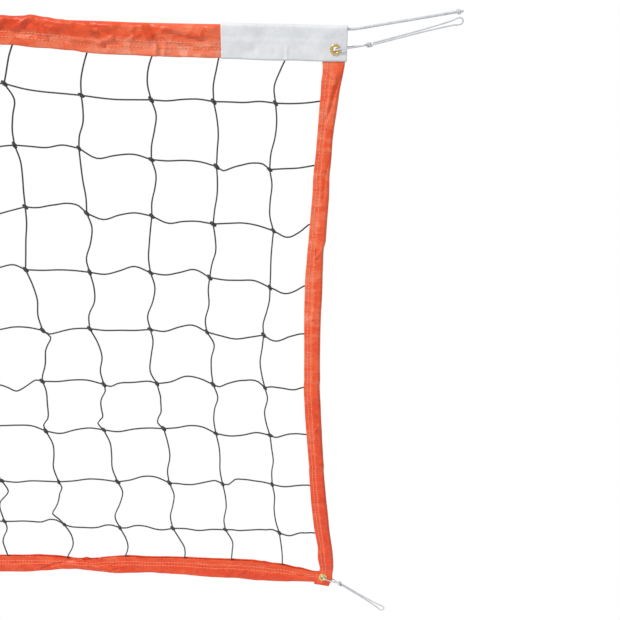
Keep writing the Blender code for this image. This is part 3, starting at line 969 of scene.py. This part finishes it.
def side_spine(side):
    """The side tape of this end, drawn in towards the middle of the net, with its corner cut."""

    def spine(depth):
        cut = CORNER_CUT * step_up(depth, HEIGHT - CORNER_RISE, HEIGHT)
        tilt = CORNER_TILT * step_up(depth, HEIGHT - 3 * CORNER_RISE, HEIGHT)
        out = END - drawn_in(depth) + eased(SIDE_OUT, depth) * MM - cut
        uneven = 0.4 * MM * wander(depth, 0.04, 17 + side)
        width = eased(SIDE_WIDTH, depth) * MM - cut
        return (side * (out + uneven), depth_z(depth)), (-side, tilt), width

    return spine


def tape(name, mat, strip, places, flip, rows):
    """The cloth of a tape, and its stitches on both faces."""
    cloth_mesh = strip_mesh(f"{name}_cloth", strip, places, flip)
    cloth = piece(cloth_mesh.name, cloth_mesh, mat, "net", "orange_tape", name)
    shape = Shape()
    for share in rows:
        for face in (-1, 1):
            add_stitches(shape, strip, share, face, places[0], places[-1])
    stitches = piece(f"{name}_stitches", shape.mesh(f"{name}_stitches"), THREAD, "net", "orange_tape")
    return cloth, stitches


# How far apart the rings of a tape lie: near the ends of the net, in its middle, and along its sides
TOP_FINE, BOTTOM_FINE, COARSE, SIDE_STEP = 2.2 * MM, 2.4 * MM, 13.0 * MM, 2.0 * MM
FINE_REACH = 0.60
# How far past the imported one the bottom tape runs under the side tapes, and where a side tape starts
TUCK = 8 * MM
SIDE_START = 12 * MM


def taped_edges():
    strip = Strip(top_spine, TOP_HALVES, crumple_top, 20.0)
    places = stations(-END, END, TOP_FINE, COARSE, FINE_REACH)
    cloth, stitches = tape("top_tape", TOP_ORANGE, strip, places, False, LEVEL_STITCH_ROWS)
    strip = Strip(bottom_spine, BOTTOM_HALVES, crumple_bottom, 30.0)
    tucked = BOTTOM_END + TUCK
    places = stations(-tucked, tucked, BOTTOM_FINE, COARSE, FINE_REACH)
    cloth, stitches = tape("bottom_tape", EDGE_ORANGE, strip, places, True, LEVEL_STITCH_ROWS)
    for name, side in SIDES.items():
        strip = Strip(side_spine(side), SIDE_HALVES, crumple_side, 40.0 + side)
        places = stations(SIDE_START, HEIGHT, SIDE_STEP, SIDE_STEP, FINE_REACH)
        cloth, stitches = tape(f"side_tape_{name}", EDGE_ORANGE, strip, places, side > 0, SIDE_STITCH_ROWS)


# Header panels

# The panel's dimples: distance from the end of the net, distance in from its folded edge, depth and
# radius, all in millimetres
DIMPLES = ((135, 36, 1.3, 5.0), (106, 41, 1.0, 4.0), (90, 44, 0.9, 4.0), (150, 12, 0.6, 9.0))
# The crease along the panel, and the step below it, where the hem's thickness ends
PANEL_CREASE, PANEL_CREASE_WIDTH = 22.5 * MM, 1.2 * MM
PANEL_STEP = (21 * MM, 24 * MM)
# Where the upright twine starts to show through, and how wide it shows
PANEL_TWINE, PANEL_TWINE_WIDTH = (30 * MM, 36 * MM), 2.0 * MM
PANEL_RING_GAP = 1.6 * MM
PANEL_OVERHANG = 0.2 * MM


def crumple_panel(x, inward, width, seed):
    """The panel's crease, its dimples and the upright twine that shows through it."""
    from_end = END - abs(x)
    value = 0.5 * noise.noise(Vector((x / 0.035, inward / 0.020, seed)))
    value += 0.8 * ridge(inward - PANEL_CREASE, PANEL_CREASE_WIDTH)
    value += 0.6 * step_up(inward, *PANEL_STEP)
    value += 1.2 * ridge(from_end - END_MESH, PANEL_TWINE_WIDTH) * step_up(inward, *PANEL_TWINE)
    for at, down, depth, size in DIMPLES:
        value -= depth * ridge(math.hypot(from_end / MM - at, inward / MM - down), size)
    return MM * value


def panel_spine(side):
    def spine(x):
        rise = 1.2 + 0.5 * wander(x, 0.06, 21 + side)
        width = PANEL_WIDTH + MM * (1.0 + 0.6 * wander(x, 0.05, 23))
        return (x, PANEL_TOP + rise * MM), (0.0, -1.0), width

    return spine


def header_panels():
    for name, side in SIDES.items():
        strip = Strip(panel_spine(side), PANEL_HALVES, crumple_panel, 50.0 + side)
        start, end = sorted((side * PANEL_START, side * (END + PANEL_OVERHANG)))
        places = stations(start, end, PANEL_RING_GAP, PANEL_RING_GAP, 1.0)
        node = f"header_panel_{name}"
        mesh = strip_mesh(f"{node}_cloth", strip, places, False)
        panel = piece(f"{node}_cloth", mesh, WHITE, "net", "header_panel", node)


HOLE_CUT_R = 5.6 * MM
PUNCH_LENGTH = 60 * MM


def punch(cloth, centre):
    """Cuts the round hole for a grommet through every layer of this cloth."""
    mesh = bpy.data.meshes.new("punch")
    bm = bmesh.new()
    place = Matrix.Translation(centre) @ Matrix.Rotation(math.radians(90), 4, "X")
    bmesh.ops.create_cone(
        bm,
        cap_ends=True,
        segments=32,
        radius1=HOLE_CUT_R,
        radius2=HOLE_CUT_R,
        depth=PUNCH_LENGTH,
        matrix=place,
    )
    bm.to_mesh(mesh)
    bm.free()
    tool = bpy.data.objects.new("punch", mesh)
    bpy.context.scene.collection.objects.link(tool)
    cut = cloth.modifiers.new("hole", "BOOLEAN")
    cut.operation = "DIFFERENCE"
    cut.solver = "EXACT"
    cut.object = tool
    graph = bpy.context.evaluated_depsgraph_get()
    holed = bpy.data.meshes.new_from_object(cloth.evaluated_get(graph))
    cloth.modifiers.clear()
    cloth.data = holed
    bpy.data.objects.remove(tool)


taped_edges()
header_panels()
for end_name in SIDES:
    cloths = {
        "top": ("top_tape_cloth", f"header_panel_{end_name}_cloth", f"side_tape_{end_name}_cloth"),
        "bottom": ("bottom_tape_cloth", f"side_tape_{end_name}_cloth"),
    }
    for level_name, cloth_names in cloths.items():
        for cloth_name in cloth_names:
            punch(bpy.data.objects[cloth_name], grommet_centre(level_name, end_name))


# Grommets

HOLE_R = 3.9 * MM
BARREL_R = 4.5 * MM
FLANGE_R = 7.8 * MM
GROMMET_STEPS = 48


def turned(name, profile, centre):
    """Turns a closed (radius, Y) outline about the Y axis."""
    rings = []
    for step in range(GROMMET_STEPS + 1):
        angle = 2 * math.pi * step / GROMMET_STEPS
        c, s = math.cos(angle), math.sin(angle)
        rings.append([(centre.x + r * c, y, centre.z + r * s) for r, y in profile])
    shape = Shape()
    shape.rings(rings, np.linspace(0, 1, len(rings)), np.linspace(0, 1, len(profile) + 1), "open")
    mesh = shape.mesh(name)
    weld(mesh)
    return mesh


def weld(mesh):
    """Joins the first and last ring of a turned mesh."""
    bm = bmesh.new()
    bm.from_mesh(mesh)
    bmesh.ops.remove_doubles(bm, verts=bm.verts, dist=0.01 * MM)
    bmesh.ops.recalc_face_normals(bm, faces=bm.faces)
    bm.to_mesh(mesh)
    bm.free()


def rounded(radius, y, reach, rise, start, step, count):
    """Points of a round edge about (radius, y): degrees turn from outwards to backwards."""
    turns = [math.radians(start + step * k) for k in range(count)]
    return [(radius + reach * math.cos(a), y + rise * math.sin(a)) for a in turns]


def grommet(level, name):
    """An eyelet rolled over a washer, with round lips."""
    near = TIES[level][1] + GAP
    far = near + FLANGE_T
    lip = rounded(HOLE_R + 0.9 * MM, -near - 0.1 * MM, 0.9 * MM, -0.75 * MM, 180, -22.5, 5)
    rim = rounded(FLANGE_R - 0.7 * MM, -near, 0.7 * MM, -0.55 * MM, 90, -30, 4)
    roll = rounded(HOLE_R + 0.3 * MM, far - 0.3 * MM, 0.3 * MM, 0.3 * MM, 0, 45, 5)
    washer_r = BARREL_R + GAP
    washer_rim = rounded(FLANGE_R - 0.5 * MM, near, 0.5 * MM, 0.5 * MM, 0, 30, 4)
    profiles = {
        "eyelet": lip + rim + [(BARREL_R, -near)] + roll,
        "washer": [(washer_r, near)] + washer_rim + [(washer_r + 1.0 * MM, far), (washer_r, near + 0.3 * MM)],
    }
    for kind, profile in profiles.items():
        mesh = turned(f"{kind}_{level}_{name}", profile, grommet_centre(level, name))
        piece(mesh.name, mesh, BRASS, "net", "brass", f"grommet_{mesh.name}")


for end_name in SIDES:
    for level_name in TIES:
        grommet(level_name, end_name)


# Netting

SEED = 7
TWINE_R = 1.3 * MM
TWINE_SIDES = 6
BAR_STEPS = 16
# How widely knots and the ends of uprights stray at random, in millimetres: along the net and up, in
# depth, and along the tapes
KNOT_SPREAD, DEPTH_SPREAD, END_SPREAD = 5.0, 1.5, 3
# The twine lies flat as far as this outside a tape, and has its full depth from there on
FLAT_REACH, FULL_REACH = 2 * MM, 30 * MM

# Where each knot near an end lies off its regular place, in millimetres along the net towards
# its end and up: one row of the netting on each line, from the upright nearest the end
KNOT_SHIFTS = (
    ((-11, -8), (-3, -8), (4, -7), (-1, -3), (-15, 12)),
    ((-12, -12), (6, -9), (4, -1), (-8, 14), (-9, 16)),
    ((2, -13), (5, -4), (5, 6), (-2, 7), (0, 16)),
    ((2, -12), (2, 3), (2, 9), (-2, 6), (-9, 8)),
    ((-6, 2), (-3, 5), (-2, 6), (-9, 3), (8, -3)),
    ((-6, 2), (3, 4), (3, 3), (7, -3), (-2, 0), (3, -9)),
    ((-3, 5), (1, 6), (7, 13), (-2, 6), (-7, -1)),
    ((-7, 2), (4, 0), (7, -1), (12, -4), (5, -7), (0, -10)),
    ((-2, -1), (0, -1), (4, -1), (6, -7), (5, -2)),
)
# How far each level's end in the side tape lies above its first knot, and how far each upright's
# ends in the top and bottom tapes lie towards the end of the net, all in millimetres
LEVEL_ENDS = (7, 12, 18, 9, 5, 4, 6, 2, 1)
UPRIGHT_ENDS = ((7, 0), (8, 5), (21, -6), (14, 5), (7, 1), (0, -11))

# The lie of each bar of twine near an end: how far it stands off the straight line between its
# knots, in millimetres, at 3 or 7 even steps. Uprights run down from the top tape, stand off
# towards the end of the net, and have one line for each, from the one nearest the end
UPRIGHT_BARS = (
    ((0, -5, -8), (4, 4, 0), (2, -2, -4), (-1, -1, 0), (2, 0, -3), (-3, -7, -5), (2, -5, -4),
     (2, 4, 0), (1, -3, -3), (2, 3, 2)),
    ((-4, -5, -5), (4, 5, 2), (2, 3, 1), (5, 7, 2), (-2, 1, -3), (9, 2, 0), (7, 0, -3),
     (3, 1, -2), (3, 4, -1), (9, 4, -1)),
    ((-8, -12, -9), (7, 5, 1), (7, 5, 0), (-2, -4, -4), (7, 4, -4), (0, -5, -8), (2, 4, 3, 2, 0, -6, -9),
     (4, 6, 0), (7, 3, -3), (13, 22, 20)),
    ((0, -3, -4), (4, 6, 1), (1, 0, 1), (6, 4, -3), (8, 9, -1), (8, 9, 0), (3, -2, -5, -5, -4, -3, -11),
     (5, 1, -4), (7, 1, -8), (10, 11, 3)),
    ((-3, -4, -3), (11, 5, 1), (5, 4, 1), (3, 1, 0), (5, 5, -1), (14, 10, 6, 6, 6, 4, 1),
     (5, 7, 7, 7, 7, 5, -3), (7, 2, -5), (5, 0, -3, -7, -13, -19, -8), (13, 17, 9)),
    ((2, 3, 1), (4, -2, -4), (3, 5, 2), (-3, -4, 1), (4, 5, 0), (2, -4, -6), (5, 6, 3), (4, 0, -4),
     (8, 12, 5, -4, -7, -6, -3), (3, 1, -5, -8, -5, -2, 0)),
)
# Levels run in from the end of the net and stand off upwards: one line for each, from the top
LEVEL_BARS = (
    ((-1, -2, -2), (2, 0, 0), (2, 1, -1), (-1, -2, -2), (-1, -3, -4), (2, -2, 1)),
    ((-1, -2, -1), (8, 9, 8, 5, 2, -2, -6), (4, 4, 1), (3, -2, -10), (4, -1, 0), (3, 2, 0)),
    ((0, -2, -8, -12, -14, -12, -6), (7, 7, 2), (2, -3, -10), (5, 0, -9), (10, 12, 11, 8, 6, 3, 1),
     (-4, -7, -4)),
    ((0, -2, -7, -11, -13, -11, -5), (9, 5, 0), (11, 4, -2), (11, 3, -4), (2, 1, -1), (6, 2, 0)),
    ((0, 0, -2, -4, -8, -10, -7), (-6, -10, -5), (10, 5, -3), (-3, -3, -3), (1, 1, 0, -2, -4, -6, -7),
     (3, 4, 0)),
    ((0, -2, -5, -5, -3, -1, 1), (11, 14, 12, 10, 7, 3, -3), (10, 12, 3), (6, 7, 6, 5, 4, 1, -4), (8, 6, 0),
     (2, -5, -12, -16, -10, -5, -2)),
    ((0, 1, 2, 2, 2, 0, -3), (4, -1, -5), (12, 11, 4), (1, 0, -3), (2, 0, -5), (6, 7, 4)),
    ((1, 0, -2), (5, 8, 9, 10, 10, 9, -1), (7, 5, 1, -3, -6, -6, -3), (12, 12, 3), (3, 3, 0), (3, 1, -4)),
    ((0, 1, 0, 0, -2, -4, -3), (5, 3, 3, 2, 1, 0, 1), (2, 0, 3), (-2, -2, 0, 3, 3, 1, -2),
     (5, 5, 1, 0, 0, -1, -2), (8, 8, 2, 2, 2, 1, 0)),
)


def upright_x(column, depth):
    """The regular place of an upright at this depth."""
    return net_x(-END + END_MESH + PITCH * column, depth)


def row_depth(row):
    return FIRST_ROW + ROW_PITCH * row


def nearest_end(column):
    """An upright's number counted from the nearer end of the net, and the side of that end."""
    from_end = min(column, COLUMNS - 1 - column)
    return from_end, -1 if column == from_end else 1


def knot_places(rng):
    """Every knot of the netting as rows of points."""
    rows = []
    for row in range(ROWS):
        depth = row_depth(row)
        places = []
        for column in range(COLUMNS):
            shift_x, shift_z = rng.gauss(0, KNOT_SPREAD), rng.gauss(0, KNOT_SPREAD)
            from_end, side = nearest_end(column)
            if from_end < len(KNOT_SHIFTS[row]):
                out, shift_z = KNOT_SHIFTS[row][from_end]
                shift_x = side * out
            y = rng.gauss(0, DEPTH_SPREAD) * MM
            places.append((upright_x(column, depth) + shift_x * MM, y, depth_z(depth) + shift_z * MM))
        rows.append(places)
    return rows


def random_bar(rng):
    """A lazy S or C, as three offsets in millimetres."""
    bow, sway, kink = rng.gauss(0, 4.0), rng.gauss(0, 3.6), rng.gauss(0, 1.2)
    return (0.7 * (bow + kink) + sway, bow - kink, 0.7 * (bow + kink) - sway)


def along_bar(shape):
    """Eases through these offsets, which are spread evenly along a bar."""
    line = np.array([-shape[0], 0.0, *shape, 0.0, -shape[-1]])
    at = np.arange(BAR_STEPS) / BAR_STEPS * (len(shape) + 1)
    i = at.astype(int)
    t = at - i
    a, b, c, d = line[i], line[i + 1], line[i + 2], line[i + 3]
    return b + 0.5 * t * (c - a + t * (2 * a - 5 * b + 4 * c - d + t * (3 * (b - c) + d - a)))


def bar(rng, start, end, across, shape):
    """Points from one knot towards the next, by a listed shape or at random."""
    a, b = np.array(start), np.array(end)
    aside = random_bar(rng)
    t = np.arange(BAR_STEPS)[:, None] / BAR_STEPS
    side = along_bar(shape or aside)[:, None]
    depth = 0.6 * along_bar(random_bar(rng))[:, None]
    return a + (b - a) * t + MM * (side * np.array(across) + depth * np.array([0.0, 1.0, 0.0]))


def twine(rng, places, across, shapes):
    """Points along one twine through these knots, from end to end."""
    bars = [bar(rng, a, b, across, shape) for a, b, shape in zip(places, places[1:], shapes)]
    return np.concatenate(bars + [[places[-1]]])


def upright_ends(column):
    """How far an upright's two ends are moved along the net, in millimetres."""
    from_end, side = nearest_end(column)
    if from_end >= len(UPRIGHT_ENDS):
        return 0, 0
    return tuple(side * value for value in UPRIGHT_ENDS[from_end])


def upright_shape(column, index):
    """The listed lie of a bar of an upright, or None."""
    from_end, side = nearest_end(column)
    if from_end >= len(UPRIGHT_BARS):
        return None
    return tuple(side * value for value in UPRIGHT_BARS[from_end][index])


def level_shape(row, index):
    """The listed lie of a bar of a level, or None."""
    from_end = min(index, COLUMNS - index)
    if from_end >= len(LEVEL_BARS[row]):
        return None
    shape = LEVEL_BARS[row][from_end]
    return shape if index == from_end else shape[::-1]


def add_twine(shape, line, clearance):
    """A twine that lies flat inside a tape, by how far each point is clear of it."""
    line[:, 1] *= np.interp(clearance, (FLAT_REACH, FULL_REACH), (0.0, 1.0))
    shape.tube(line, TWINE_R, TWINE_SIDES)


# A netting knot: how it slants, its core as (place along it, radius) and the twine wound round it,
# all in millimetres
KNOT_SLANT, KNOT_SLANT_SPREAD = -48, 12
KNOT_CORE = ((-5.6, 1.0), (-4.6, 2.0), (-2.4, 2.6), (2.4, 2.6), (4.6, 2.0), (5.6, 1.0))
WINDING_SPAN, WINDING_R, WINDING_D = 3.6, 2.4, 2.2
WINDING_STEPS, WINDING_TURN = 12, 0.9


def twine_knot(shape, rng, centre):
    """A netting knot: a slanting core with the twine wound round it."""
    angle = math.radians(KNOT_SLANT + rng.gauss(0, KNOT_SLANT_SPREAD))
    unit = rng.uniform(0.9, 1.1) * MM
    start = rng.uniform(0, 2 * math.pi)
    run = np.array([math.cos(angle), 0.0, math.sin(angle)])
    face = np.array(TO_FRONT)
    across = np.cross(run, face)
    centre = np.array(centre)
    core = np.array(KNOT_CORE) * unit
    shape.tube(centre + core[:, :1] * run, core[:, 1], TWINE_SIDES)
    winding = []
    for i in range(WINDING_STEPS + 1):
        turn = start + i * WINDING_TURN
        round_core = WINDING_R * (across * math.cos(turn) + face * math.sin(turn))
        winding.append(centre + unit * (run * WINDING_SPAN * (i / WINDING_STEPS - 0.5) + round_core))
    rings, length = cord_tube(winding, WINDING_D * unit, 5)
    shape.rings(rings, length, np.linspace(0, 1, 6))


def netting():
    rng = random.Random(SEED)
    knots = knot_places(rng)
    uprights, levels, lumps = Shape(), Shape(), Shape()
    for column in range(COLUMNS):
        ends = [
            (upright_x(column, depth) + (rng.gauss(0, END_SPREAD) + out) * MM, 0.0, depth_z(depth))
            for depth, out in zip((NET_TOP, NET_BOTTOM), upright_ends(column))
        ]
        shapes = [upright_shape(column, i) for i in range(ROWS + 1)]
        line = twine(rng, [ends[0], *(row[column] for row in knots), ends[1]], (1.0, 0.0, 0.0), shapes)
        clearance = np.minimum(TOP_Z - TOP_WIDTH - line[:, 2], line[:, 2] - BOTTOM_HIGH)
        add_twine(uprights, line, clearance)
    for row, places in enumerate(knots):
        edge = END - drawn_in(row_depth(row)) - NET_INSET
        rise = LEVEL_ENDS[row] * MM
        first, last = (-edge, 0.0, places[0][2] + rise), (edge, 0.0, places[-1][2] + rise)
        shapes = [level_shape(row, i) for i in range(COLUMNS + 1)]
        line = twine(rng, [first, *places, last], (0.0, 0.0, 1.0), shapes)
        clearance = edge + NET_INSET - SIDE_TAPE_WIDTH - np.abs(line[:, 0])
        add_twine(levels, line, clearance)
    for places in knots:
        for centre in places:
            twine_knot(lumps, rng, centre)
    piece("netting_uprights", uprights.mesh("netting_uprights"), TWINE, "net", "twine", "netting")
    piece("netting_levels", levels.mesh("netting_levels"), TWINE, "net", "twine")
    piece("netting_knots", lumps.mesh("netting_knots"), TWINE, "net", "twine")


netting()


# Floor and light

FLOOR_Z = -2.43
FLOOR_HALF_LENGTH = 7.0
FLOOR_FRONT = -3.7
FLOOR_BACK = 1.3
ROOM_LIGHT = 0.66
KEY_LIGHT = 2.55
KEY_WAY = (0.75, 0.62, -1.0)


def floor_material():
    m = Nodes("pale_floor")
    tone = m.noise(3.0, 3.0)
    m.colour(m.ramp(tone, (0.3, (0.78, 0.78, 0.78)), (0.7, (0.83, 0.83, 0.83))))
    m.rough(tone, 0.7, 0.9)
    return m.material


def make_floor():
    mesh = bpy.data.meshes.new("floor")
    front = [(side * FLOOR_HALF_LENGTH, FLOOR_FRONT, FLOOR_Z) for side in (-1, 1)]
    back = [(side * FLOOR_HALF_LENGTH, FLOOR_BACK, FLOOR_Z) for side in (1, -1)]
    mesh.from_pydata(front + back, [], [(0, 1, 2, 3)])
    mesh.materials.append(floor_material())
    floor = bpy.data.objects.new("floor", mesh)
    bpy.context.scene.collection.objects.link(floor)


def make_room():
    """A white room: pure white where the camera sees it, and dimmer as a light."""
    world = bpy.data.worlds.new("white_room")
    bpy.context.scene.world = world
    world.use_nodes = True
    nodes, links = world.node_tree.nodes, world.node_tree.links
    nodes["Background"].inputs["Color"].default_value = (1, 1, 1, 1)
    seen = nodes.new("ShaderNodeMapRange")
    seen.inputs["To Min"].default_value = ROOM_LIGHT
    links.new(nodes.new("ShaderNodeLightPath").outputs["Is Camera Ray"], seen.inputs["Value"])
    links.new(seen.outputs[0], nodes["Background"].inputs["Strength"])


def make_key():
    """A large soft light from the upper left, in front of the net."""
    light = bpy.data.lights.new("key", "SUN")
    light.energy = KEY_LIGHT
    light.angle = math.radians(12)
    key = bpy.data.objects.new("key", light)
    key.rotation_euler = Vector(KEY_WAY).to_track_quat("-Z", "Y").to_euler()
    bpy.context.scene.collection.objects.link(key)


make_floor()
make_room()
make_key()
bpy.context.scene.view_settings.view_transform = "Standard"
